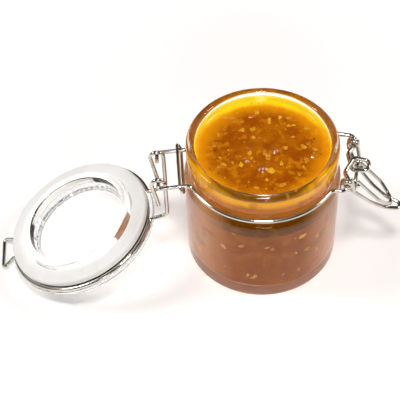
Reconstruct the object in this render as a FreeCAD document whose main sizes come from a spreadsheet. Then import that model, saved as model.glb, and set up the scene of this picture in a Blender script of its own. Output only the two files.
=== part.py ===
import FreeCAD, Part
import math
import os

import Sketcher
from FreeCAD import Placement, Rotation, Vector

# A small clip-top jar of chili paste: a pressed glass jar filled almost to its rim, a glass lid with a
# silicone gasket, and the bent steel wires that hinge the lid and clamp it shut. The lid is swung right
# open, so that its catch rests on the table, and the clamp's lever and link stand out from the jar.
# Millimetres, +Z up. The origin is the middle of the jar's flat bottom; the hinge is on -X.

doc = FreeCAD.newDocument("ChiliPasteJar")

# Driving dimensions: alias, value, meaning.
SIZES = [
    # glass jar
    ("body_radius", 33.0, "outside of the body at the shoulder"),
    ("rim_height", 64.4, "top of the rim above the bottom"),
    ("wall", 3.2, "glass wall of the body"),
    ("heel_draft", 0.6, "how much narrower the body is at the bottom"),
    ("heel_round", 3.5, "rounding of the bottom edge"),
    ("floor_thickness", 4.6, "glass under the paste"),
    ("inner_heel_round", 4.0, "rounding inside the bottom edge"),
    ("shoulder_drop", 2.0, "end of the straight body below the groove"),
    ("shoulder_round", 3.0, "rounding of the shoulder"),
    ("groove_depth", 2.1, "groove for the neck wire, in from the body"),
    ("groove_width", 5.0, "height of the groove"),
    ("rim_band", 10.8, "height of the rim above the groove"),
    ("rim_setback", 1.1, "rim band in from the body"),
    ("rim_round", 1.7, "rounding of the rim's outer edge"),
    ("mouth_setback", 1.5, "mouth in from the inside of the body"),
    ("mouth_round", 1.4, "rounding of the rim's inner edge"),
    ("neck_drop", 5.0, "height of the inner slope between body and neck"),
    # paste
    ("paste_gap", 0.15, "paste to glass"),
    ("paste_depth", 3.1, "paste below the rim, at the wall"),
    ("paste_dish", 0.4, "dip of the paste's surface, half way in"),
    # glass lid and gasket, as closed
    ("seal_gap", 0.3, "gasket above the rim when the lid is shut"),
    ("gasket_thickness", 3.0, "gasket, flange to sealing face"),
    ("gasket_overhang", 0.1, "gasket out past the rim"),
    ("gasket_play", 0.4, "gasket round the plug"),
    ("gasket_round", 1.1, "rounding of the gasket's edges"),
    ("plug_play", 3.1, "lid's plug in from the mouth"),
    ("plug_taper", 0.3, "how much narrower the plug is at its end"),
    ("plug_depth", 2.9, "plug below the sealing face"),
    ("plug_round", 1.2, "rounding of the plug's end"),
    ("plug_wall", 3.2, "plug at the mouth of the lid's recess"),
    ("recess_taper", 1.7, "how much narrower the recess is at its bottom"),
    ("recess_height", 4.8, "recess bottom above the sealing face"),
    ("recess_round", 1.2, "rounding at the bottom of the recess"),
    ("step_depth", 1.65, "step under the lid's lip, where the wire lies, in from the lip"),
    ("step_height", 2.6, "height of that step"),
    ("lip_overhang", 0.25, "lid out past the body"),
    ("lip_height", 2.1, "height of the lid's lip"),
    ("lip_round", 1.0, "rounding of the lip"),
    ("crown_setback", 8.25, "start of the lid's crown in from the lip"),
    ("crown_rise", 0.8, "crown above the lip"),
    # wires
    ("wire_radius", 0.9, "neck wire and lid wire"),
    ("lever_wire_radius", 0.85, "lever wire"),
    ("link_wire_radius", 0.8, "link wire"),
    ("keeper_wire_radius", 0.7, "keeper wire"),
    ("wire_seat", 0.15, "neck and lid wires to the glass they lie on"),
    ("wire_play", 0.25, "between two wires that turn on or lie over each other"),
    ("butt_gap", 0.3, "between the two ends of a wire bent into a closed shape"),
    # hinge
    ("collar_rise", 2.3, "neck wire above the lower end of the groove"),
    ("hinge_drop", 1.0, "hinge bar below the neck wire"),
    ("hinge_standoff", 11.0, "hinge bar out from the body"),
    ("crook_middle", 7.8, "middle of a crook of the lid wire from the middle plane"),
    ("horn_middle", 10.2, "horn of the neck wire from the middle plane"),
    ("bar_stop", 4.8, "free end of a hinge bar from the middle plane"),
    ("bar_corner", 1.4, "bend between a horn and its hinge bar"),
    ("horn_bend", 3.0, "bend where a horn leaves the ring"),
    ("crook_radius", 2.8, "bend of the lid wire round the bar"),
    ("crook_tail", 12.0, "free end of the crook past the bar"),
    ("tail_lean", 10.0, "lean of the crook's free end, in degrees"),
    ("leg_lean", 20.0, "lean of the crook's leg towards the lid, in degrees"),
    ("arm_bend", 2.6, "bend from the crook's leg into the lid's arm"),
    ("keeper_half_length", 13.0, "keeper, middle to end"),
    ("keeper_outer", 8.8, "keeper's upper strand from the bar"),
    ("keeper_inner", 10.4, "keeper's lower strand from the bar"),
    # catch on the lid
    ("catch_reach", 6.4, "catch bar out from the lid's ring"),
    ("catch_half_width", 8.4, "half the catch bar"),
    ("catch_neck", 4.8, "half the catch where it leaves the ring"),
    ("catch_rise", 2.0, "catch bar above the lid's ring"),
    ("catch_bend", 1.3, "bends of the catch"),
    # latch: loop of the neck wire, lever and link
    ("latch_standoff", 3.5, "lever's axis out from the body"),
    ("latch_side", -3.2, "middle of the latch off the middle plane"),
    ("latch_facing", -14.0, "direction that the latch faces, in degrees"),
    ("strand_half_length", 16.0, "neck wire's straight stretch, middle to bend"),
    ("strand_bend", 2.2, "bend at the end of that stretch"),
    ("tuck_start", 8.2, "where the strands turn in from the axis"),
    ("tuck_end", 5.6, "where they run on towards the loop"),
    ("tuck", 1.7, "how far in the strands run"),
    ("loop_half_width", 2.3, "half the loop"),
    ("loop_foot", 1.2, "loop's inner bends from the axis"),
    ("loop_reach", 7.8, "loop's tip from the axis"),
    ("loop_bend", 1.9, "bends of the loop"),
    ("tuck_bend", 2.7, "bends where the strands turn in"),
    ("coil_start", 10.2, "inner end of a lever coil"),
    ("coil_pitch", 1.9, "advance of a coil in a turn"),
    ("bar_reach", 3.0, "lever's bar out from its axis"),
    ("bar_drop", 6.0, "lever's bar below its axis"),
    ("bar_bend", 1.5, "bend at the ends of the bar"),
    ("link_half_width", 5.3, "half the link at the bar"),
]

sheet = doc.addObject("Spreadsheet::Sheet", "Sizes")
for row, (alias, value, meaning) in enumerate(SIZES, start=1):
    sheet.set("A%d" % row, alias)
    sheet.set("B%d" % row, str(value))
    sheet.set("C%d" % row, meaning)
    sheet.setAlias("B%d" % row, alias)
doc.recompute()


class Size:
    """A length known both as a number and as the spreadsheet expression that gives it."""

    def __init__(self, number, text):
        self.number = number
        self.text = text

    def __add__(self, other):
        return Size(self.number + other.number, "(%s + %s)" % (self.text, other.text))

    def __sub__(self, other):
        return Size(self.number - other.number, "(%s - %s)" % (self.text, other.text))


def size(alias):
    return Size(float(sheet.get(alias)), "Sizes." + alias)


def mm(alias):
    """The number in a cell of the sheet."""
    return float(sheet.get(alias))


NOTHING = Size(0.0, "0")
COILS = 1                # whole turns of a lever coil, besides the part turn between its ends
COIL_STEPS_A_TURN = 6    # bends that make up a turn
BEND_SHARE = 0.9         # a coil's bends, as a share of its radius, which leaves a trace of straight


# ---------------------------------------------------------------- turned pieces

def tangent_points(before, corner, after, radius):
    """Where an arc of that radius touches the two lines that meet in a corner."""
    back = (before - corner).normalize()
    ahead = (after - corner).normalize()
    half = back.getAngle(ahead) / 2
    reach = radius / math.tan(half)
    centre = corner + (back + ahead).normalize() * (radius / math.sin(half))
    return corner + back * reach, corner + ahead * reach, centre


def hold(sketch, point, axis, value, name):
    """Tie a point of the sketch to a size, measured from the origin along an axis."""
    geometry, end = point
    if value.text == "0":
        line = -2 if axis == "X" else -1
        sketch.addConstraint(Sketcher.Constraint("PointOnObject", geometry, end, line))
        return
    rule = Sketcher.Constraint("Distance" + axis, -1, 1, geometry, end, value.number)
    number = sketch.addConstraint(rule)
    sketch.renameConstraint(number, name)
    sketch.setExpression("Constraints." + name, value.text)


def rounded_outline(sketch, corners):
    """A closed outline of straight lines. Each corner is (out, up, rounding or None)."""
    points = [Vector(out.number, up.number, 0) for out, up, rounding in corners]
    count = len(corners)
    ends = []
    for i, (out, up, rounding) in enumerate(corners):
        if rounding is None:
            ends.append((points[i], points[i], None))
        else:
            ends.append(tangent_points(points[i - 1], points[i], points[(i + 1) % count],
                                       rounding.number))
    lines = []
    for i in range(count):
        start = ends[i][1]
        finish = ends[(i + 1) % count][0]
        lines.append(sketch.addGeometry(Part.LineSegment(start, finish), False))
    for i, (out, up, rounding) in enumerate(corners):
        before = lines[i - 1]
        after = lines[i]
        if rounding is None:
            sketch.addConstraint(Sketcher.Constraint("Coincident", before, 2, after, 1))
            corner = (after, 1)
        else:
            start, finish, centre = ends[i]
            turn = (start - centre).cross(finish - centre).z
            first, last = (start, finish) if turn > 0 else (finish, start)
            circle = Part.Circle(centre, Vector(0, 0, 1), rounding.number)
            arc = sketch.addGeometry(Part.ArcOfCircle(circle, circle.parameter(first),
                                                      circle.parameter(last)), False)
            point = sketch.addGeometry(Part.Point(points[i]), True)
            sketch.addConstraint(Sketcher.Constraint("PointOnObject", point, 1, before))
            sketch.addConstraint(Sketcher.Constraint("PointOnObject", point, 1, after))
            near, far = (1, 2) if turn > 0 else (2, 1)
            sketch.addConstraint(Sketcher.Constraint("Tangent", before, 2, arc, near))
            sketch.addConstraint(Sketcher.Constraint("Tangent", arc, far, after, 1))
            number = sketch.addConstraint(Sketcher.Constraint("Radius", arc, rounding.number))
            sketch.renameConstraint(number, "round%d" % i)
            sketch.setExpression("Constraints.round%d" % i, rounding.text)
            corner = (point, 1)
        hold(sketch, corner, "X", out, "out%d" % i)
        hold(sketch, corner, "Y", up, "up%d" % i)


def origin_plane(body, role):
    for feature in body.Origin.OriginFeatures:
        if feature.Role == role:
            return feature


def turned(label, corners):
    """A body turned round +Z from an outline in the XZ plane."""
    body = doc.addObject("PartDesign::Body", label + "_body")
    body.Label = label
    sketch = body.newObject("Sketcher::SketchObject", label + "_outline")
    sketch.AttachmentSupport = (origin_plane(body, "XZ_Plane"), [""])
    sketch.MapMode = "FlatFace"
    rounded_outline(sketch, corners)
    doc.recompute()
    turn = body.newObject("PartDesign::Revolution", label + "_turned")
    turn.Profile = sketch
    turn.ReferenceAxis = (sketch, ["V_Axis"])
    turn.Angle = 360
    doc.recompute()
    return body


# ---------------------------------------------------------------- bent wires

def bent_path(corners):
    """Straight runs joined by tangent arcs. Each corner is (point, bend radius or None at an end)."""
    edges = []
    here = corners[0][0]
    for i in range(1, len(corners) - 1):
        before, corner, after = corners[i - 1][0], corners[i][0], corners[i + 1][0]
        start, finish, centre = tangent_points(before, corner, after, corners[i][1])
        if here.distanceToPoint(start) > 1e-4:
            edges.append(Part.LineSegment(here, start).toShape())
        middle = centre + (corner - centre).normalize() * corners[i][1]
        edges.append(Part.Arc(start, middle, finish).toShape())
        here = finish
    edges.append(Part.LineSegment(here, corners[-1][0]).toShape())
    return Part.Wire(edges)


def bent_wire(label, corners, radius, placement=Placement()):
    """A round steel wire of one of the sheet's radii, swept along a bent path."""
    corners = [(placement.multVec(point), bend) for point, bend in corners]
    route = doc.addObject("Part::Feature", label + "_route")
    route.Shape = bent_path(corners)
    along = corners[1][0] - corners[0][0]
    section = doc.addObject("Part::Circle", label + "_section")
    section.setExpression("Radius", "Sizes." + radius)
    section.Placement = Placement(corners[0][0], Rotation(Vector(0, 0, 1), along))
    sweep = doc.addObject("Part::Sweep", label)
    sweep.Sections = [section]
    sweep.Spine = (route, ["Edge%d" % (i + 1) for i in range(len(route.Shape.Edges))])
    sweep.Solid = True
    sweep.Frenet = False
    sweep.Label = label
    doc.recompute()
    return sweep


def ring_corners(radius, start, finish, height):
    """Corners of a path that runs round the Z axis between two angles, given in degrees."""
    steps = math.ceil(abs(finish - start) / 50)
    step = (finish - start) / steps
    out = radius / math.cos(math.radians(step / 2))
    corners = []
    for i in range(steps):
        angle = math.radians(start + (i + 0.5) * step)
        corners.append((Vector(out * math.cos(angle), out * math.sin(angle), height), radius))
    return corners


def on_tangent(radius, angle, point, along=Vector(1, 0, 0)):
    """Where a level line through a point crosses the tangent that touches a circle at an angle."""
    turn = math.radians(angle)
    normal = Vector(math.cos(turn), math.sin(turn), 0)
    return point + along * ((radius - normal.dot(point)) / normal.dot(along))


def mirrored(corners):
    """The same corners on the other side of the XZ plane, in the opposite order."""
    return [(Vector(p.x, -p.y, p.z), bend) for p, bend in reversed(corners)]


# ---------------------------------------------------------------- glass jar and paste

RIM = size("rim_height")
BODY_RADIUS = size("body_radius")
HEEL_RADIUS = BODY_RADIUS - size("heel_draft")
INNER_RADIUS = BODY_RADIUS - size("wall")
INNER_HEEL = HEEL_RADIUS - size("wall")
MOUTH_RADIUS = INNER_RADIUS - size("mouth_setback")
RIM_RADIUS = BODY_RADIUS - size("rim_setback")
GROOVE_RADIUS = BODY_RADIUS - size("groove_depth")
GROOVE_HIGH = RIM - size("rim_band")
GROOVE_LOW = GROOVE_HIGH - size("groove_width")
NECK_START = GROOVE_LOW - size("neck_drop")

turned("glass_jar", [
    (NOTHING, NOTHING, None),
    (HEEL_RADIUS, NOTHING, size("heel_round")),
    (BODY_RADIUS, GROOVE_LOW - size("shoulder_drop"), size("shoulder_round")),
    (GROOVE_RADIUS, GROOVE_LOW, size("wire_radius")),
    (GROOVE_RADIUS, GROOVE_HIGH, size("wire_radius")),
    (RIM_RADIUS, GROOVE_HIGH + size("rim_round"), size("rim_round")),
    (RIM_RADIUS, RIM, size("rim_round")),
    (MOUTH_RADIUS, RIM, size("mouth_round")),
    (MOUTH_RADIUS, GROOVE_LOW, size("neck_drop")),
    (INNER_RADIUS, NECK_START, size("neck_drop")),
    (INNER_HEEL, size("floor_thickness"), size("inner_heel_round")),
    (NOTHING, size("floor_thickness"), None),
])

PASTE_LEVEL = RIM - size("paste_depth")
PASTE_FLOOR = size("floor_thickness") + size("paste_gap")
PASTE_TOP_RADIUS = MOUTH_RADIUS - size("paste_gap")

turned("paste", [
    (NOTHING, PASTE_FLOOR, None),
    (INNER_HEEL - size("paste_gap"), PASTE_FLOOR, size("inner_heel_round")),
    (INNER_RADIUS - size("paste_gap"), NECK_START, size("neck_drop")),
    (PASTE_TOP_RADIUS, GROOVE_LOW, size("neck_drop")),
    (PASTE_TOP_RADIUS, PASTE_LEVEL, None),
    (PASTE_TOP_RADIUS - size("neck_drop"), PASTE_LEVEL - size("paste_dish"), None),
    (NOTHING, PASTE_LEVEL - size("paste_gap"), None),
])

# ---------------------------------------------------------------- neck wire
# One wire: a hinge bar, its horn, the ring in the jar's groove, the latch's axis with its loop, and
# the same again back to the other hinge bar.

COLLAR = GROOVE_LOW.number + mm("collar_rise")
BAR = Vector(-BODY_RADIUS.number - mm("hinge_standoff"), 0, COLLAR - mm("hinge_drop"))
RING = GROOVE_RADIUS.number + mm("wire_seat") + mm("wire_radius")
HORN = mm("horn_middle")
HORN_SPREAD = 8.0        # degrees round the jar from a horn's line to where the ring begins

latch = Placement(Vector(BODY_RADIUS.number + mm("latch_standoff"), mm("latch_side"), COLLAR),
                  Rotation(Vector(0, 0, 1), mm("latch_facing")))


def horn_angle(point, inward, side):
    """Angle, in degrees, where the ring begins past a horn that runs inward from a point."""
    across = point.x * inward.y - point.y * inward.x
    crossing = math.atan2(inward.y, inward.x) + math.pi + math.asin(across / RING)
    return math.degrees(crossing) + side * HORN_SPREAD


RING_START = horn_angle(Vector(BAR.x, -HORN, 0), Vector(1, 0, 0), 1)


def hinge_end():
    """From the free end of the front hinge bar, round its bend and along the horn to the ring."""
    horn_end = on_tangent(RING, RING_START, Vector(BAR.x, -HORN, COLLAR))
    return [(Vector(BAR.x, -mm("bar_stop"), BAR.z), None),
            (Vector(BAR.x, -HORN, BAR.z), mm("bar_corner")),
            (horn_end, mm("horn_bend"))]


LOOP_LIFT = 1.5          # loop's ends above and below the axis, in wire radii, so that it clears itself


def latch_loop():
    """The tucked strands by the glass and the loop between them, which crosses over itself."""
    half = mm("loop_half_width")
    foot = mm("loop_foot")
    tip = mm("loop_reach")
    lift = mm("wire_radius") * LOOP_LIFT
    tuck = mm("tuck")
    bend = mm("loop_bend")
    tuck_bend = mm("tuck_bend")
    return [(Vector(0, -mm("tuck_start"), 0), tuck_bend),
            (Vector(-tuck, -mm("tuck_end"), 0), tuck_bend),
            (Vector(foot, half, lift), bend),
            (Vector(tip, half, lift / 3), bend),
            (Vector(tip, -half, -lift / 3), bend),
            (Vector(foot, -half, -lift), bend),
            (Vector(-tuck, mm("tuck_end"), 0), tuck_bend),
            (Vector(0, mm("tuck_start"), 0), tuck_bend)]


inward = latch.Rotation.multVec(Vector(-1, 0, 0))
strand_front = latch.multVec(Vector(0, -mm("strand_half_length"), 0))
strand_back = latch.multVec(Vector(0, mm("strand_half_length"), 0))
front_angle = horn_angle(strand_front, inward, -1)
back_angle = horn_angle(strand_back, inward, 1)
collar = hinge_end()
collar += ring_corners(RING, RING_START, front_angle, COLLAR)
collar += [(on_tangent(RING, front_angle, strand_front, inward), mm("horn_bend")),
           (strand_front, mm("strand_bend"))]
collar += [(latch.multVec(point), bend) for point, bend in latch_loop()]
collar += [(strand_back, mm("strand_bend")),
           (on_tangent(RING, back_angle, strand_back, inward), mm("horn_bend"))]
collar += ring_corners(RING, back_angle, 720 - RING_START, COLLAR)
collar += mirrored(hinge_end())
bent_wire("collar_wire", collar, "wire_radius")


# ---------------------------------------------------------------- keeper over the horns
# A flat oblong of thinner wire: its upper strand lies over both horns and its lower one under them.

def horn_height(reach):
    """Height of a horn's middle at a distance from the bar."""
    run = on_tangent(RING, RING_START, Vector(BAR.x, -HORN, 0)).x - BAR.x
    return BAR.z + (COLLAR - BAR.z) * reach / run


apart = mm("wire_radius") + mm("keeper_wire_radius") + mm("wire_play")
upper = Vector(BAR.x + mm("keeper_outer"), 0, horn_height(mm("keeper_outer")) + apart)
lower = Vector(BAR.x + mm("keeper_inner"), 0, horn_height(mm("keeper_inner")) - apart)
keeper_bend = upper.distanceToPoint(lower) / 2
keeper_end = Vector(0, mm("keeper_half_length"), 0)
keeper_butt = Vector(0, mm("butt_gap") / 2, 0)
bent_wire("hinge_keeper", [
    (lower + keeper_butt, None),
    (lower + keeper_end, keeper_bend),
    (upper + keeper_end, keeper_bend),
    (upper - keeper_end, keeper_bend),
    (lower - keeper_end, keeper_bend),
    (lower - keeper_butt, None),
], "keeper_wire_radius")

# ---------------------------------------------------------------- lid
# Made as closed, coaxial with the jar, then swung open about the hinge bar until it meets the table.

SEAL = RIM + size("seal_gap")
FLANGE = SEAL + size("gasket_thickness")
LIP = FLANGE + size("step_height")
LIP_TOP = LIP + size("lip_height")
PLUG_RADIUS = MOUTH_RADIUS - size("plug_play")
RECESS_MOUTH = PLUG_RADIUS - size("plug_wall")
LIP_RADIUS = BODY_RADIUS + size("lip_overhang")
STEP_RADIUS = LIP_RADIUS - size("step_depth")
LID_RING = STEP_RADIUS.number + mm("wire_seat") + mm("wire_radius")
RING_LEVEL = FLANGE.number + mm("wire_radius") + mm("wire_seat") * 2
CATCH_LEVEL = RING_LEVEL + mm("catch_rise")
CATCH_REACH = LID_RING + mm("catch_reach")
CATCH_START = -12.0      # degrees round the lid where the catch leaves the ring
ARM_START = 200.0        # degrees round the lid where the front arm meets the ring


def resting_dip(reach, height):
    """Angle below level at which a point of the closed lid, given from the bar, meets the table."""
    return math.degrees(math.asin(BAR.z / math.hypot(reach, height)) - math.atan2(height, reach))


def catch_dip():
    """The same for the round wire of the catch bar."""
    reach = CATCH_REACH - BAR.x
    height = CATCH_LEVEL - BAR.z
    drop = (BAR.z - mm("wire_radius")) / math.hypot(reach, height)
    return math.degrees(math.asin(drop) - math.atan2(height, reach))


lip_dip = resting_dip(LIP_RADIUS.number - BAR.x, LIP_TOP.number - BAR.z)
dip = min(catch_dip(), lip_dip)
swing = Placement(Vector(), Rotation(Vector(0, 1, 0), -(180 + dip)), BAR)

lid_glass = turned("lid_glass", [
    (NOTHING, SEAL + size("recess_height"), None),
    (RECESS_MOUTH - size("recess_taper"), SEAL + size("recess_height"), size("recess_round")),
    (RECESS_MOUTH, SEAL - size("plug_depth"), size("plug_round")),
    (PLUG_RADIUS - size("plug_taper"), SEAL - size("plug_depth"), size("plug_round")),
    (PLUG_RADIUS, FLANGE, None),
    (STEP_RADIUS, FLANGE, None),
    (STEP_RADIUS, LIP, None),
    (LIP_RADIUS, LIP, size("lip_round")),
    (LIP_RADIUS, LIP_TOP, size("lip_round")),
    (LIP_RADIUS - size("crown_setback"), LIP_TOP + size("crown_rise"), BODY_RADIUS),
    (NOTHING, LIP_TOP + size("crown_rise"), None),
])
lid_glass.Placement = swing

GASKET_BORE = PLUG_RADIUS + size("gasket_play")
GASKET_RADIUS = RIM_RADIUS + size("gasket_overhang")
lid_gasket = turned("lid_gasket", [
    (GASKET_BORE, SEAL, size("wire_seat")),
    (GASKET_RADIUS, SEAL, size("gasket_round")),
    (GASKET_RADIUS, FLANGE, size("gasket_round")),
    (GASKET_BORE, FLANGE, size("wire_seat")),
])
lid_gasket.Placement = swing


def crook_and_arm():
    """From the free end of the front crook round the bar, up its leg and along the arm to the ring."""
    round_bar = mm("crook_radius")
    tail_lean = math.radians(mm("tail_lean"))
    leg_lean = math.radians(mm("leg_lean"))
    bar = Vector(BAR.x, -mm("crook_middle"), BAR.z)
    tail_way = Vector(math.sin(tail_lean), 0, math.cos(tail_lean))
    leg_way = Vector(math.sin(leg_lean), 0, math.cos(leg_lean))
    inner = bar + Vector(round_bar * math.tan(math.pi / 4 - tail_lean / 2), 0, -round_bar)
    outer = bar - Vector(round_bar * math.tan(math.pi / 4 + leg_lean / 2), 0, round_bar)
    elbow = outer + leg_way * ((RING_LEVEL - outer.z) / leg_way.z)
    return [(inner + tail_way * (mm("crook_tail") + round_bar), None),
            (inner, round_bar),
            (outer, round_bar),
            (elbow, mm("arm_bend")),
            (on_tangent(LID_RING, ARM_START, elbow), mm("arm_bend"))]


def catch_half():
    """From the ring to the front corner of the catch bar."""
    start = on_tangent(LID_RING, CATCH_START, Vector(0, -mm("catch_neck"), RING_LEVEL))
    corner = Vector(CATCH_REACH, -mm("catch_half_width"), CATCH_LEVEL)
    return [(start, mm("catch_bend")), (corner, mm("catch_bend"))]


lid_half = crook_and_arm()
lid_half += ring_corners(LID_RING, ARM_START, 360 + CATCH_START, RING_LEVEL)
lid_half += catch_half()
bent_wire("lid_wire", lid_half + mirrored(lid_half), "wire_radius", swing)

# ---------------------------------------------------------------- lever
# In the latch's own frame: X out from the jar, Y along the lever's axis. Two coils turn on the neck
# wire; their inner ends carry the bar that the link hangs on, their outer ends the finger lever.

COIL = mm("wire_radius") + mm("wire_play") + mm("lever_wire_radius")
LEVER_HEEL = Vector(-COIL, 12.2, -2.6)
LEVER_ELBOW = Vector(2.0, 7.4, -8.2)
LEVER_MIDDLE = Vector(9.8, 5.0, -16.8)
LEVER_WRIST = Vector(16.5, 3.0, -21.6)
LEVER_TIP = Vector(22.4, 1.6, -22.6)


def coil_corners():
    """A coil round the Y axis, from the lead to the bar over the top to the lever's heel."""
    reach = math.hypot(mm("bar_drop"), mm("bar_reach"))
    lead = math.degrees(math.acos(COIL / reach) - math.atan2(mm("bar_drop"), mm("bar_reach")))
    whole = 180 + 360 * COILS - lead
    steps = round(whole / 360 * COIL_STEPS_A_TURN)
    step = whole / steps
    out = COIL / math.cos(math.radians(step / 2))
    corners = []
    for i in range(steps):
        angle = math.radians(lead + (i + 0.5) * step)
        y = mm("coil_start") + mm("coil_pitch") * (i + 0.5) * step / 360
        corners.append((Vector(out * math.cos(angle), y, out * math.sin(angle)), COIL * BEND_SHARE))
    return corners


def lever_half():
    """From the middle of the bar out to the back coil and down the back arm to the tip."""
    corners = [(Vector(mm("bar_reach"), mm("butt_gap") / 2, -mm("bar_drop")), None),
               (Vector(mm("bar_reach"), mm("coil_start"), -mm("bar_drop")), mm("bar_bend"))]
    corners += coil_corners()
    corners += [(LEVER_HEEL, 2.0), (LEVER_ELBOW, 4.0), (LEVER_MIDDLE, 22.0), (LEVER_WRIST, 10.0)]
    corners += [(LEVER_TIP, LEVER_TIP.y)]
    return corners


bent_wire("lever_wire", lever_half() + mirrored(lever_half()), "lever_wire_radius", latch)

# ---------------------------------------------------------------- link
# It hooks round the lever's bar with both ends and lies over the lever; its nose goes over the catch.

LINK_DIP = 45.0          # degrees below level
EYE = mm("lever_wire_radius") + mm("wire_play") + mm("link_wire_radius")
EYE_TURN = 290.0         # degrees that a hook wraps round the bar
LINK_KINK = Vector(13.4, 5.3, 1.25)
LINK_TAPER = Vector(18.4, 3.4, 0.85)
LINK_NOSE = Vector(21.2, 1.4, 0.65)

bar_frame = Placement(Vector(mm("bar_reach"), 0, -mm("bar_drop")),
                      Rotation(Vector(0, 1, 0), LINK_DIP))


def link_half():
    """From the free end of the back hook to the back corner of the nose, in the link's own frame."""
    y = mm("link_half_width")
    steps = 5
    step = EYE_TURN / steps
    out = EYE / math.cos(math.radians(step / 2))
    hook = []
    for i in range(steps):
        angle = math.radians(90 + (i + 0.5) * step)
        hook.append((Vector(out * math.cos(angle), y, out * math.sin(angle)), EYE * BEND_SHARE))
    turned_by = math.radians(90 + EYE_TURN)
    free_end = Vector(EYE * math.cos(turned_by), y, EYE * math.sin(turned_by))
    kink = Vector(LINK_KINK.x, y, LINK_KINK.z)
    corners = [(free_end, None)]
    corners += reversed(hook)
    corners += [(kink, 6.0), (LINK_TAPER, 4.0), (LINK_NOSE, LINK_NOSE.y)]
    return corners


bent_wire("link_wire", link_half() + mirrored(link_half()), "link_wire_radius",
          latch.multiply(bar_frame))

# ---------------------------------------------------------------- check and write

doc.recompute()
NODES = ["glass_jar", "paste", "collar_wire", "hinge_keeper", "lid_glass", "lid_gasket", "lid_wire",
         "lever_wire", "link_wire"]
for item in doc.Objects:
    if "Invalid" in item.State or "Error" in item.State:
        raise RuntimeError("failed: " + item.Label)
os.makedirs("parts", exist_ok=True)
for label in NODES:
    piece = doc.getObjectsByLabel(label)[0]
    shape = piece.Shape
    if shape.isNull() or not shape.isValid() or len(shape.Solids) != 1:
        raise RuntimeError("not one good solid: " + label)
    shape.exportStep(os.path.join("parts", label + ".step"))
    box = shape.BoundBox
    print("%-13s %9.1f mm3  X %.1f %.1f  Y %.1f %.1f  Z %.2f %.2f" % (
        label, shape.Volume, box.XMin, box.XMax, box.YMin, box.YMax, box.ZMin, box.ZMax))
print("lid dips %.2f degrees; bar at %.2f, %.2f" % (dip, BAR.x, BAR.z))
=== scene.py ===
import math
import random

import bmesh
import bpy
from mathutils import Matrix, Vector, noise


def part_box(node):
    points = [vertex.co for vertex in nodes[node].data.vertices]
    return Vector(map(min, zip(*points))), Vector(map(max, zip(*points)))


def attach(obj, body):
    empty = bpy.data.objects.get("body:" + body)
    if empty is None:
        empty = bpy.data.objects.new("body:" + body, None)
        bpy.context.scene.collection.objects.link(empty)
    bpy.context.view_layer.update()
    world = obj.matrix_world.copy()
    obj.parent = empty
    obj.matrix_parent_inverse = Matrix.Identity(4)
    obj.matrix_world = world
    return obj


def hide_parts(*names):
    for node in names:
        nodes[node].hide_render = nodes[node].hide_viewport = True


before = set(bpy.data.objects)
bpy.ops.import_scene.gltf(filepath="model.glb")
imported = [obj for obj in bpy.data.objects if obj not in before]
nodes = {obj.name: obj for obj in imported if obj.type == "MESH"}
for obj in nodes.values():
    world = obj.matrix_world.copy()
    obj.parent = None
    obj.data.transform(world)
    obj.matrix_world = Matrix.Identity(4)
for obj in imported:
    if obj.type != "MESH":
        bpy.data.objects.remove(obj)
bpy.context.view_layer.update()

# ---------------------------------------------------------------- glass jar
# A pressed clear glass jar with a groove under its rim. It came hot out of a mould, so its walls are
# very slightly wavy and its surface is fire-bright.

JAR_TINT = (0.93, 0.905, 0.86)
JAR_BENDING = 1.38                      # less than real glass, so that glare doesn't hide the paste
GLASS_SHADE = (0.83, 0.815, 0.81)       # what glass leaves of the light in its own shadow
GLASS_WAVES = 90.0                      # the closeness of the pressed surface's waves
GLASS_WAVE_DEPTH = 0.0006
GLASS_WAVINESS = 0.1


def both_ways(operation):
    """An operator and its reflected form, each of which adds one Math node."""
    def plain(self, other):
        return self.finish.maths(operation, self, other)

    def reflected(self, other):
        return self.finish.maths(operation, other, self)

    return plain, reflected


class Wave:
    """A value that runs through shader nodes, so that plain arithmetic adds the Math nodes."""

    def __init__(self, finish, socket):
        self.finish = finish
        self.socket = socket

    __add__, __radd__ = both_ways("ADD")
    __sub__, __rsub__ = both_ways("SUBTRACT")
    __mul__, __rmul__ = both_ways("MULTIPLY")
    __truediv__, __rtruediv__ = both_ways("DIVIDE")
    __pow__, __rpow__ = both_ways("POWER")

    def __abs__(self):
        return self.finish.maths("ABSOLUTE", self)

    def step(self, low, high):
        """0 at one value and 1 at the other, with a smooth slope between."""
        return self.finish.node("ShaderNodeMapRange", {"interpolation_type": "SMOOTHSTEP"},
                                {"Value": self, "From Min": low, "From Max": high})


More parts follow.
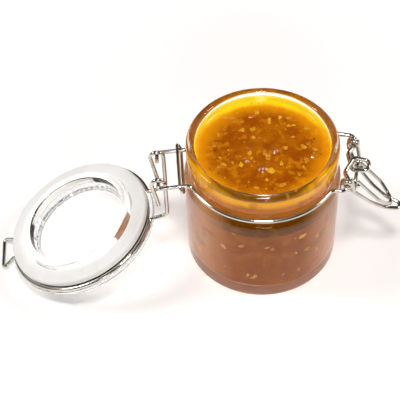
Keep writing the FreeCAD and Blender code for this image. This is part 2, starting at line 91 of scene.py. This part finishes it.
class Finish:
    """One material's nodes, and the one way in which each of them is made."""

    def __init__(self, name, **constants):
        self.material = bpy.data.materials.new(name)
        self.material.use_nodes = True
        self.tree = self.material.node_tree
        self.surface = self.tree.nodes["Principled BSDF"]
        self.feed(**constants)

    def node(self, kind, settings, sockets, out=0):
        """Adds a node: its settings first, then a value or a link for each socket, by name or number."""
        made = self.tree.nodes.new(kind)
        for setting, value in settings.items():
            if setting == "stops":
                self.stops(made.color_ramp, value)
            else:
                setattr(made, setting, value)
        for socket, value in sockets.items():
            self.put(made.inputs[socket], value)
        return Wave(self, made.outputs[out])

    def put(self, socket, value):
        """Links a wave to a socket, or sets the socket to a number or a colour."""
        if isinstance(value, Wave):
            self.tree.links.new(value.socket, socket)
        elif socket.type == "RGBA":
            socket.default_value = (*value, 1.0)
        else:
            socket.default_value = value

    def stops(self, ramp, stops):
        """Gives a colour ramp its (place, colour) stops."""
        while len(ramp.elements) < len(stops):
            ramp.elements.new(1.0)
        for element, (place, colour) in zip(ramp.elements, stops):
            element.position = place
            element.color = (*colour, 1.0)

    def feed(self, **inputs):
        """Gives the surface its constants and what changes over it."""
        for socket, value in inputs.items():
            self.put(self.surface.inputs[socket.replace("_", " ")], value)

    def maths(self, operation, one, other=0.0):
        return self.node("ShaderNodeMath", {"operation": operation}, {0: one, 1: other})

    def place(self):
        return self.node("ShaderNodeTexCoord", {}, {}, out="Object")

    def axes(self, letters):
        """How far the place lies along each of these axes."""
        place = self.place()
        return [self.node("ShaderNodeSeparateXYZ", {}, {0: place}, out=letter) for letter in letters]

    def noise(self, scale, detail=2.0, roughness=0.5):
        """Clouds with a mean of 0.5. Their scale is their closeness, in waves a metre."""
        return self.node("ShaderNodeTexNoise", {},
                         {"Vector": self.place(), "Scale": scale, "Detail": detail, "Roughness": roughness})

    def mix(self, share, one, other):
        """One colour, and the other where the share is 1."""
        return self.node("ShaderNodeMix", {"data_type": "RGBA"}, {0: share, 6: one, 7: other}, out=2)

    def bump(self, height, strength, distance):
        return self.node("ShaderNodeBump", {},
                         {"Strength": strength, "Distance": distance, "Height": height})

    def ray(self, kind):
        """1 for a ray of this kind, such as "Is Shadow Ray", and 0 for any other."""
        return self.node("ShaderNodeLightPath", {}, {}, out=kind)

    def seen(self):
        """1 where the surface is looked at, straight or through glass."""
        return self.maths("MAXIMUM", self.ray("Is Camera Ray"), self.ray("Is Transmission Ray"))

    def on(self, piece):
        """Puts the finish on the whole piece."""
        piece.data.materials.clear()
        piece.data.materials.append(self.material)


def clear_glass(name, tint, bending):
    """Clear pressed glass, which lets most of the light through into its own shadow."""
    glass = Finish(name, Base_Color=tint, Transmission_Weight=1.0, IOR=bending, Roughness=0.0)
    glass.feed(Normal=glass.bump(glass.noise(GLASS_WAVES, detail=1.0), GLASS_WAVINESS, GLASS_WAVE_DEPTH))
    clear = glass.node("ShaderNodeBsdfTransparent", {}, {"Color": GLASS_SHADE})
    solid = Wave(glass, glass.surface.outputs["BSDF"])
    both = glass.node("ShaderNodeMixShader", {}, {0: glass.ray("Is Shadow Ray"), 1: solid, 2: clear})
    glass.put(glass.tree.nodes["Material Output"].inputs["Surface"], both)
    return glass


clear_glass("jar_glass", JAR_TINT, JAR_BENDING).on(nodes["glass_jar"])

# ---------------------------------------------------------------- paste
# A thick, wet, cooked chili paste, poured hot and set against the glass. It is orange-brown and full of
# pulp, so its surface is lumpy and glossy. Along the wall its top has a painted yellow glow, standing in
# for light that shines in through the glass, and its side has painted light and painted shade.

GLASS_CONTACT = 0.00025                 # how far the paste goes past its solid, just into the glass
SURFACE_DEPTH = 0.0020                  # the surface's dips are all above this depth
FILL_DROP = 0.0005                      # the surface's mean height under the solid's top
FOOT_HEIGHT = 0.004                     # the lowest part of the side, which reaches down into the glass

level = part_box("paste")[1].z
floor_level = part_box("paste")[0].z
wall = {}
for vertex in nodes["paste"].data.vertices:
    height = round(vertex.co.z, 5)
    wall[height] = max(wall.get(height, 0.0), math.hypot(vertex.co.x, vertex.co.y))
mouth = max(out for height, out in wall.items() if height > level - SURFACE_DEPTH)
wall = sorted((height, out) for height, out in wall.items()
              if height < level - SURFACE_DEPTH or out == mouth)


def smooth(value, low, high):
    """0 up to one value and 1 from the other, with a smooth slope between."""
    share = min(1.0, max(0.0, (value - low) / (high - low)))
    return share * share * (3 - 2 * share)


# A mound is (x, y, reach, rise). These four are the large pieces of pulp that stand out of the surface.
mounds = [(-0.0010, -0.0115, 0.0030, 0.0014), (0.0045, -0.0020, 0.0026, 0.0011),
          (-0.0075, -0.0065, 0.0024, 0.0010), (-0.0060, -0.0010, 0.0020, 0.0008)]
SMALL_MOUNDS = 22
SMALL_MOUNDS_OUT = 0.8                  # how near to the wall they come, as a share of the mouth
SMALL_MOUND_REACH = (0.0010, 0.0026)
SMALL_MOUND_RISE = (0.0003, 0.0007)

draw = random.Random(23)
for i in range(SMALL_MOUNDS):
    out = mouth * SMALL_MOUNDS_OUT * math.sqrt(draw.random())
    turn = draw.uniform(0, math.tau)
    mounds.append((out * math.cos(turn), out * math.sin(turn), draw.uniform(*SMALL_MOUND_REACH),
                   draw.uniform(*SMALL_MOUND_RISE)))

SWELL, SWELL_RISE = 70, 0.00034         # a relief's closeness, in waves a metre, and its rise
RIPPLE, RIPPLE_RISE = 170, 0.00022
PULP, PULP_RISE = 420, 0.00050
GRAIN, GRAIN_RISE = 1100, 0.00003
CALM_AT_WALL = 0.75                     # the share of the relief that is gone at the glass
SLEEK_ON_MOUND = 0.9                    # and of the pulp and the grain that is gone on a mound
CREEP = 0.0016                          # how high the paste stands up against the glass at the back
CREEP_AT_FRONT = 0.15                   # the share of that which it has at the front
DISH = 0.00035                          # how far the middle has sunk


def paste_height(x, y):
    """Height of the paste's surface, with its swells, mounds, pulp and the creep up the wall."""
    out = math.hypot(x, y) / mouth
    mound = 0.0
    for along, across, reach, rise in mounds:
        near = ((x - along) ** 2 + (y - across) ** 2) / (reach * reach)
        if near < 1:
            mound += rise * (1 - near) ** 2
    spot = Vector((x, y, 0.0))
    swell = noise.noise(spot * SWELL) * SWELL_RISE
    swell += noise.noise(spot * RIPPLE + Vector((5, 2, 1))) * RIPPLE_RISE
    pulp = noise.noise(spot * PULP + Vector((1, 7, 3)))
    grain = noise.noise(spot * GRAIN + Vector((4, 4, 9)))
    lively = 1 - smooth(out, 0.55, 0.95) * CALM_AT_WALL
    rough = (max(0.0, pulp) ** 1.5 * PULP_RISE + grain * GRAIN_RISE) * lively
    rough *= 1 - SLEEK_ON_MOUND * smooth(mound, 0.00005, 0.00040)
    backward = CREEP_AT_FRONT + (1 - CREEP_AT_FRONT) * smooth(y / mouth, -0.7, 0.6)
    creep = smooth(out, 0.93, 1.0) ** 2 * CREEP * backward
    dish = -DISH * (1 - smooth(out, 0.5, 1.0))
    return level - FILL_DROP + dish + swell * lively + mound + rough + creep


AROUND = 400                            # points round a ring
ACROSS = 130                            # rings from the wall to the middle
CLOSER_AT_WALL = 0.9                    # under 1, the surface's rings lie closer together at the wall
LEAST_STEP = 0.0004                     # the side's rings are no closer than this
MOST_STEP = 0.0009                      # and no further apart in height than this


def circle(out):
    """Points evenly round a circle, from the +X side."""
    return [(out * math.cos(turn), out * math.sin(turn))
            for turn in (math.tau * i / AROUND for i in range(AROUND))]


def ring_mesh(name, rings, bottom, top):
    """A closed skin over rings of points, from the lowest ring to the last one."""
    shape = bmesh.new()
    rows = [[shape.verts.new(point) for point in ring] for ring in rings]
    for low, high in zip(rows, rows[1:]):
        for i in range(len(low)):
            j = (i + 1) % len(low)
            shape.faces.new((low[i], low[j], high[j], high[i]))
    for row, point, flip in ((rows[0], bottom, True), (rows[-1], top, False)):
        middle = shape.verts.new(point)
        for i in range(len(row)):
            pair = (row[i], row[(i + 1) % len(row)])
            shape.faces.new((*reversed(pair), middle) if flip else (*pair, middle))
    return smooth_piece(name, shape)


def smooth_piece(name, shape):
    """Turns a finished bmesh into a smooth-shaded object of the scene."""
    mesh = bpy.data.meshes.new(name)
    shape.to_mesh(mesh)
    shape.free()
    for face in mesh.polygons:
        face.use_smooth = True
    piece = bpy.data.objects.new(name, mesh)
    bpy.context.scene.collection.objects.link(piece)
    return piece


steps = [wall[0]]
for height, out in wall[1:]:
    before, close_in = steps[-1]
    if height - before < LEAST_STEP and abs(out - close_in) < LEAST_STEP:
        continue
    parts = math.ceil((height - before) / MOST_STEP)
    for part in range(1, parts + 1):
        share = part / parts
        steps.append((before + (height - before) * share, close_in + (out - close_in) * share))
steps = [step for step in steps if step[0] < level - LEAST_STEP]

rings = []
for height, out in steps:
    low = height - GLASS_CONTACT * (1 - smooth(height, floor_level, floor_level + FOOT_HEIGHT))
    rings.append([Vector((x, y, low)) for x, y in circle(out + GLASS_CONTACT)])
for j in range(ACROSS):
    out = (mouth + GLASS_CONTACT) * (1 - j / ACROSS) ** CLOSER_AT_WALL
    rings.append([Vector((x, y, paste_height(x, y))) for x, y in circle(out)])
paste = ring_mesh("chili_paste", rings, Vector((0, 0, floor_level - GLASS_CONTACT)),
                  Vector((0, 0, paste_height(0, 0))))

# The top goes from red-brown in the middle over amber to bright yellow at the glass. The amber and yellow
# are a painted glow, standing in for light that shines in through the glass, and this painted glow reaches
# further towards the middle at the back.
THICK_DARK = (0.35, 0.075, 0.0006)
THICK_LIGHT = (0.48, 0.130, 0.0012)
CHUNK = (0.72, 0.26, 0.003)
FLECK = (0.66, 0.24, 0.006)
# the painted glow along the glass, from amber to bright yellow, stands in for light shining in through the
# wall
GLOW_AMBER = (0.84, 0.30, 0.002)
GLOW_YELLOW = (0.97, 0.68, 0.010)
BRIGHT_GLOW_YELLOW = (1.0, 0.77, 0.03)
GLOW_LEAN_AT_BACK = 0.13                             # how much further in the painted glow reaches at the back, as a share of the mouth
CLOUDING = 0.12                         # how much the clouds move them

# The side's colours by height, from the table at 0 to the paste's level at 1: a pale foot, which is painted
# light standing in for light through the glass base, the body, the dark shoulder, which is painted shade
# under the slope of the neck, the neck, and a yellow rim under a thin dark line.
SIDE_STOPS_WITH_PAINTED_LIGHT = [(0.00, (0.78, 0.44, 0.31)), (0.085, (0.62, 0.30, 0.18)), (0.11, (0.265, 0.070, 0.003)),
        (0.64, (0.265, 0.069, 0.003)), (0.66, (0.125, 0.040, 0.0001)), (0.79, (0.130, 0.041, 0.0001)),
        (0.81, (0.44, 0.17, 0.04)), (0.85, (0.44, 0.15, 0.015)), (0.90, (0.44, 0.125, 0.001)),
        (0.94, (0.72, 0.34, 0.002)), (0.974, (0.72, 0.34, 0.002)), (0.985, (0.15, 0.055, 0.004))]
# the colour of the painted light on the left and right of the body
SIDE_PAINTED_PALE = (0.72, 0.38, 0.20)
SIDE_ORANGE = (0.44, 0.15, 0.02)
SIDE_DARK = (0.18, 0.045, 0.004)
SIDE_FLECK = (0.62, 0.28, 0.03)
EDGE_BLUR = 0.0012                      # how far the clouds move the edges of the side's colours
EDGE_WAVES = 0.0030                     # and how far slow waves move those of the body
BODY_TOP = (0.70, 0.80)                 # where those waves die out, as shares of the level
PAINTED_SIDE_LIGHT_TOP = (0.76, 0.84)                # where the painted light on the left and right of the body ends
PAINTED_SIDE_LIGHT_STRENGTH = 0.55
TOP_EDGE = 0.0005                       # the height in which the side's colour turns into the top's
OIL_ROUGHNESS = 0.03                    # the top has a film of oil, the side has none


def layered(under, layers):
    """Colours over one another, each laid on as its wave goes from where it begins to where it is full."""
    for wave, begins, full, strength, colour in layers:
        under = sauce.mix(wave.step(begins, full) * strength, under, colour)
    return under


sauce = Finish("chili_paste", Roughness=1.0, IOR=1.4, Subsurface_Weight=0.3, Subsurface_Scale=0.0022,
               Subsurface_Radius=(1.0, 0.42, 0.05), Specular_IOR_Level=0.0,
               Coat_Roughness=OIL_ROUGHNESS, Coat_IOR=1.45)
x, y, z = sauce.axes("XYZ")
cloud = sauce.noise(130.0, detail=3.0, roughness=0.6)
chunk = sauce.noise(270.0, detail=1.0, roughness=0.4)
fleck = sauce.noise(520.0, detail=2.0, roughness=0.6)
slow = sauce.noise(38.0, detail=1.0)
radius = (x * x + y * y) ** 0.5

# painted glow: the mask of the ring lit through the glass, widened at the back
glow_outward = radius / mouth + y * (GLOW_LEAN_AT_BACK / mouth) + (cloud - 0.5) * CLOUDING
top = layered(sauce.mix(cloud.step(0.35, 0.65), THICK_DARK, THICK_LIGHT), (
    (chunk, 0.60, 0.68, 0.50, CHUNK),
    (fleck, 0.56, 0.72, 0.30, FLECK),
    # painted glow along the glass
    (glow_outward, 0.66, 1.00, 1.00, GLOW_AMBER),
    (glow_outward, 0.92, 1.04, 1.00, GLOW_YELLOW),
    (glow_outward, 1.05, 1.13, 1.00, BRIGHT_GLOW_YELLOW)))

in_body = z.step(level * BODY_TOP[1], level * BODY_TOP[0])
edge = (cloud - 0.5) * EDGE_BLUR + (slow - 0.5) * EDGE_WAVES * in_body
# painted light and painted shade: the pale foot and the dark shoulder of these stops
side_with_painted_light = sauce.node("ShaderNodeValToRGB", {"stops": SIDE_STOPS_WITH_PAINTED_LIGHT}, {0: (z + edge) / level})
# painted reflection: the body paler towards its left and right, as the light from the sides makes it
painted_side_light = (abs(x) / mouth).step(0.45, 1.0) * z.step(level * PAINTED_SIDE_LIGHT_TOP[1], level * PAINTED_SIDE_LIGHT_TOP[0])
side_with_painted_light = layered(sauce.mix(painted_side_light * PAINTED_SIDE_LIGHT_STRENGTH, side_with_painted_light, SIDE_PAINTED_PALE), (
    (cloud, 0.50, 0.70, 0.40, SIDE_ORANGE),
    (cloud, 0.48, 0.30, 0.45, SIDE_DARK),
    (fleck, 0.64, 0.75, 0.40, SIDE_FLECK)))

at_wall = radius.step(mouth + GLASS_CONTACT * 0.2, mouth + GLASS_CONTACT * 0.7)
upward = z.step(level - SURFACE_DEPTH - TOP_EDGE, level - SURFACE_DEPTH) * (1 - at_wall)
sauce.feed(Base_Color=sauce.mix(upward, side_with_painted_light, top), Coat_Weight=upward,
           Normal=sauce.bump(sauce.noise(600.0), strength=0.20, distance=0.0004))
sauce.on(paste)
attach(paste, "jar")
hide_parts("paste")

# ---------------------------------------------------------------- bits in the paste
# Chopped garlic and pepper flesh, chili seeds and dark specks of skin. They are cooked soft, lie in the
# paste with only their tops out, and some show through the glass where they touch it.

GARLIC_BITS = 34
CHILI_SEEDS = 10
GARLIC_CRUMBS = 46
SKIN_SPECKS = 18
WALL_BITS = 64
SEED_THICKNESS = 0.0004                 # from the middle, as every size of a bit here
WALL_BIT_THICKNESS = 0.00022
WALL_REACH = 0.02                       # a bit lies as far out as the wall is within this height of it
GARLIC_LIGHT = (0.88, 0.42, 0.012)
GARLIC_DARK = (0.58, 0.17, 0.002)
SEED_LIGHT = (0.86, 0.40, 0.03)
SEED_DARK = (0.66, 0.24, 0.008)
GARLIC_IN_GLASS_LIGHT = (0.66, 0.30, 0.030)
GARLIC_IN_GLASS_DARK = (0.40, 0.13, 0.010)
SKIN_LIGHT = (0.10, 0.012, 0.002)
SKIN_DARK = (0.03, 0.006, 0.002)


def lumps(name, spots, roundness):
    """Uneven lumps in one mesh. Each spot is (middle, half sizes, turn, tilt)."""
    shape = bmesh.new()
    for number, (middle, sizes, turn, tilt) in enumerate(spots):
        made = bmesh.ops.create_icosphere(shape, subdivisions=3, radius=1.0)["verts"]
        shift = Vector((number * 3.1, number * 1.7, number * 2.3))
        place = Matrix.Translation(middle) @ Matrix.Rotation(turn, 4, "Z") @ Matrix.Rotation(tilt, 4, "X")
        for vertex in made:
            spot = vertex.co.normalized()
            uneven = noise.noise(spot * 1.3 + shift) + 0.5 * noise.noise(spot * 3 + shift)
            grow = 1 + (1 - roundness) * uneven
            vertex.co = place @ Vector([spot[axis] * sizes[axis] * grow for axis in range(3)])
    piece = smooth_piece(name, shape)
    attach(piece, "jar")
    return piece


def on_top(length, width, thick, outer, sink):
    """A piece on the surface, out to a share of the mouth, sunk in by a share of its thickness."""
    out = mouth * math.sqrt(draw.uniform(0.0, outer * outer))
    turn = draw.uniform(0, math.tau)
    x, y = out * math.cos(turn), out * math.sin(turn)
    return (Vector((x, y, paste_height(x, y) - thick * sink)), (length, width, thick),
            draw.uniform(0, math.pi), draw.uniform(-0.3, 0.3))


def on_wall(length, width, thick, low, high):
    """A piece flat against the glass, between two heights as shares of the paste's level."""
    turn = draw.uniform(0, math.tau)
    height = level * draw.uniform(low, high)
    out = max(reach for tall, reach in wall if abs(tall - height) < WALL_REACH) + GLASS_CONTACT
    return (Vector((out * math.cos(turn), out * math.sin(turn), height)), (thick, length, width),
            turn, draw.uniform(0, math.pi))


def garlic():
    length = draw.uniform(0.0011, 0.0021)
    return on_top(length, width=length * draw.uniform(0.6, 0.9), thick=length * 0.45, outer=0.80,
                  sink=draw.uniform(0.45, 0.80))


def seed():
    length = draw.uniform(0.0012, 0.0016)
    return on_top(length, width=length * 0.68, thick=SEED_THICKNESS, outer=0.88,
                  sink=draw.uniform(0.1, 0.7))


def crumb():
    length = draw.uniform(0.00022, 0.00050)
    return on_top(length, width=length * draw.uniform(0.6, 0.9), thick=length * 0.6, outer=0.95, sink=0.3)


def speck():
    length = draw.uniform(0.00025, 0.00060)
    return on_top(length, width=length * draw.uniform(0.35, 0.9), thick=length * 0.4, outer=0.93, sink=0.3)


def wall_bit():
    length = draw.uniform(0.0005, 0.0018)
    return on_wall(length, width=length * draw.uniform(0.35, 0.8), thick=WALL_BIT_THICKNESS,
                   low=0.14, high=0.66)


def cooked(name, light, dark, roughness):
    """Soft, wet, translucent flesh."""
    flesh = Finish(name, Roughness=roughness, IOR=1.4, Subsurface_Weight=0.5, Subsurface_Scale=0.0015,
                   Subsurface_Radius=(1.0, 0.5, 0.1), Specular_IOR_Level=0.4)
    shade = flesh.noise(500.0) * 0.4 + flesh.noise(160.0, detail=1.0) * 0.6
    flesh.feed(Base_Color=flesh.mix(shade.step(0.38, 0.62), dark, light),
               Normal=flesh.bump(flesh.noise(1500.0), strength=0.3, distance=0.0002))
    return flesh


garlic_bits = lumps("garlic_bits", [garlic() for i in range(GARLIC_BITS)], roundness=0.6)
chili_seeds = lumps("chili_seeds", [seed() for i in range(CHILI_SEEDS)], roundness=0.88)
garlic_crumbs = lumps("garlic_crumbs", [crumb() for i in range(GARLIC_CRUMBS)], roundness=0.6)
skin_specks = lumps("skin_specks", [speck() for i in range(SKIN_SPECKS)], roundness=0.7)
wall_bits = lumps("bits_at_the_glass", [wall_bit() for i in range(WALL_BITS)], roundness=0.7)

cooked_garlic = cooked("garlic", GARLIC_LIGHT, GARLIC_DARK, roughness=0.2)
cooked_garlic.on(garlic_bits)
cooked_garlic.on(garlic_crumbs)
cooked("seed", SEED_LIGHT, SEED_DARK, roughness=0.25).on(chili_seeds)
cooked("garlic_at_the_glass", GARLIC_IN_GLASS_LIGHT, GARLIC_IN_GLASS_DARK, roughness=0.4).on(wall_bits)
cooked("pepper_skin", SKIN_LIGHT, SKIN_DARK, roughness=0.25).on(skin_specks)

# ---------------------------------------------------------------- wires
# Neck wire, keeper, lid wire, lever and link: bright hard-drawn steel wire, bent cold on a former, with
# fine marks from the die and duller spots where it was gripped.

STEEL = (0.70, 0.67, 0.61)
DULL_STEEL = [part * 0.82 for part in STEEL]
SHINY_ROUGHNESS = 0.08
WORN_ROUGHNESS = 0.20

steel = Finish("steel_wire", Metallic=1.0, IOR=2.5)
marks = steel.noise(700.0, detail=3.0, roughness=0.7)
worn = steel.noise(160.0)
steel.feed(Base_Color=steel.mix(worn.step(0.4, 0.7), STEEL, DULL_STEEL),
           Roughness=worn * (WORN_ROUGHNESS - SHINY_ROUGHNESS) + SHINY_ROUGHNESS,
           Normal=steel.bump(marks, strength=0.12, distance=0.0001))
for wire in ("collar_wire", "hinge_keeper", "lid_wire", "lever_wire", "link_wire"):
    steel.on(nodes[wire])

# ---------------------------------------------------------------- lid
# A pressed clear glass disc with a hollow plug under it, and the lid wire bent round its step. Its glass
# is a little whiter than the jar's.

LID_TINT = (0.93, 0.925, 0.91)
LID_BENDING = 1.5                       # as real glass

clear_glass("lid_glass", LID_TINT, LID_BENDING).on(nodes["lid_glass"])

# ---------------------------------------------------------------- gasket
# A moulded ring of translucent white silicone, stretched over the plug. It is a little matt, more so
# where dust clings to it.

SILICONE = (0.95, 0.945, 0.93)
DUSTY_SILICONE = (0.88, 0.875, 0.85)
CLEAN_ROUGHNESS = 0.30
DUSTY_ROUGHNESS = 0.55

silicone = Finish("silicone", IOR=1.43, Subsurface_Weight=0.6, Subsurface_Scale=0.002,
                  Subsurface_Radius=(1.0, 0.95, 0.9), Specular_IOR_Level=0.4)
dust = silicone.noise(60.0, detail=3.0, roughness=0.6)
silicone.feed(Base_Color=silicone.mix(dust.step(0.35, 0.7), SILICONE, DUSTY_SILICONE),
              Roughness=dust * (DUSTY_ROUGHNESS - CLEAN_ROUGHNESS) + CLEAN_ROUGHNESS,
              Normal=silicone.bump(silicone.noise(1200.0), strength=0.1, distance=0.0002))
silicone.on(nodes["lid_gasket"])

# ---------------------------------------------------------------- table
# A wide table with a white paper top. It has a glow of its own, which shows but lights nothing, and which
# grows where the lamps no longer reach.

WIDE = 3.0                              # from the middle to each edge
UNDER_JAR = 0.0001                      # the gap that keeps the jar's foot out of the paper
PAPER = (0.90, 0.885, 0.88)
BLACK = (0.0, 0.0, 0.0)
WHITE = (1.0, 1.0, 1.0)
NEAR_GLOW = 0.22                        # the paper's glow near the jar, where the lamps reach
LIT = (0.10, 0.50)                      # where their light begins to fail, and where the glow is full

table = bpy.data.objects.new("table", bpy.data.meshes.new("table"))
table.data.from_pydata([(-WIDE, -WIDE, 0), (WIDE, -WIDE, 0), (WIDE, WIDE, 0), (-WIDE, WIDE, 0)], [],
                       [(0, 1, 2, 3)])
table.location.z = -UNDER_JAR
bpy.context.scene.collection.objects.link(table)

paper = Finish("table_top", Roughness=0.9, Base_Color=PAPER, Specular_IOR_Level=0.0, Emission_Strength=1.0)
x, y = paper.axes("XY")
far = ((x * x + y * y) ** 0.5).step(*LIT)
glow = paper.ray("Is Glossy Ray") * NEAR_GLOW + paper.seen() * (far * (1 - NEAR_GLOW) + NEAR_GLOW)
paper.feed(Emission_Color=paper.mix(glow, BLACK, WHITE))
paper.on(table)

# ---------------------------------------------------------------- room and lamps
# A dim room with pale walls low down at both sides, which looks white behind the jar. One small lamp
# hangs above and a little in front, one stands at each side, and a weak wide one in front.

DIM = (0.05, 0.047, 0.043)
PALE_WALLS = (0.60, 0.58, 0.565)
WALLS_FROM = (0.60, 0.92)               # how far towards a side they begin, and where they are full
WALLS_END = (0.20, 0.50)                # and how far up they begin to darken, and where they end


class Room(Finish):
    """The world's nodes in place of a material's. Its place is a direction."""

    def __init__(self, world):
        self.tree = world.node_tree
        self.surface = self.tree.nodes["Background"]

    def place(self):
        return self.node("ShaderNodeTexCoord", {}, {}, out="Generated")


bpy.context.scene.world = bpy.data.worlds.new("room")
bpy.context.scene.world.use_nodes = True
room = Room(bpy.context.scene.world)
x, z = room.axes("XZ")
walls = room.mix(abs(x).step(*WALLS_FROM) * (1 - z.step(*WALLS_END)), DIM, PALE_WALLS)
room.feed(Color=room.mix(room.seen(), walls, WHITE), Strength=1.0)


def lamp(name, azimuth, elevation, distance, size, power, tint):
    """A soft box aimed at the foot of the jar, in degrees round from +X and up from the table."""
    light = bpy.data.lights.new(name, "AREA")
    light.shape = "RECTANGLE"
    light.size, light.size_y = size
    light.energy = power
    light.color = tint
    box = bpy.data.objects.new(name, light)
    flat, rise = math.radians(azimuth), math.radians(elevation)
    way = Vector((math.cos(flat) * math.cos(rise), math.sin(flat) * math.cos(rise), math.sin(rise)))
    box.location = way * distance
    box.rotation_mode = "QUATERNION"
    box.rotation_quaternion = way.to_track_quat("Z", "Y")
    bpy.context.scene.collection.objects.link(box)


lamp("lamp_above", azimuth=268, elevation=73, distance=1.0, size=(0.16, 0.16), power=4.7,
     tint=(1.0, 0.985, 0.97))
for name, azimuth in (("lamp_left", 174), ("lamp_right", 6)):
    lamp(name, azimuth, elevation=44, distance=1.1, size=(0.25, 0.25), power=3.3, tint=(1.0, 0.98, 0.97))
lamp("lamp_front", azimuth=268, elevation=28, distance=1.3, size=(0.4, 0.15), power=1.6, tint=WHITE)

# ---------------------------------------------------------------- camera
# It looks down at the jar and the open lid from the front, 0.6 m away, with a long lens and held slightly
# askew.

ELEVATION = math.radians(49.24)
AZIMUTH = math.radians(-2.0)
ROLL = math.radians(-1.92)
DISTANCE = 0.603
JAR_MIDDLE = Vector((0, 0, 0.0283))
ASIDE = 0.0266                          # how far left of the jar's middle the camera aims
BELOW = 0.00073                         # and how far below it

back = Vector((math.sin(AZIMUTH) * math.cos(ELEVATION), -math.cos(AZIMUTH) * math.cos(ELEVATION),
               math.sin(ELEVATION)))
level_right = Vector((math.cos(AZIMUTH), math.sin(AZIMUTH), 0.0))
level_up = back.cross(level_right)
right = level_right * math.cos(ROLL) + level_up * math.sin(ROLL)
up = level_up * math.cos(ROLL) - level_right * math.sin(ROLL)
aim = JAR_MIDDLE - right * ASIDE - up * BELOW

lens = bpy.data.cameras.new("camera")
lens.lens = 126.0
lens.sensor_width = 36.0
lens.clip_start = 0.05
lens.clip_end = 20.0
camera = bpy.data.objects.new("camera", lens)
turned = Matrix((right, up, back)).transposed().to_4x4()
camera.matrix_world = Matrix.Translation(aim + back * DISTANCE) @ turned
bpy.context.scene.collection.objects.link(camera)
bpy.context.scene.camera = camera
bpy.context.scene.view_settings.view_transform = "Standard"
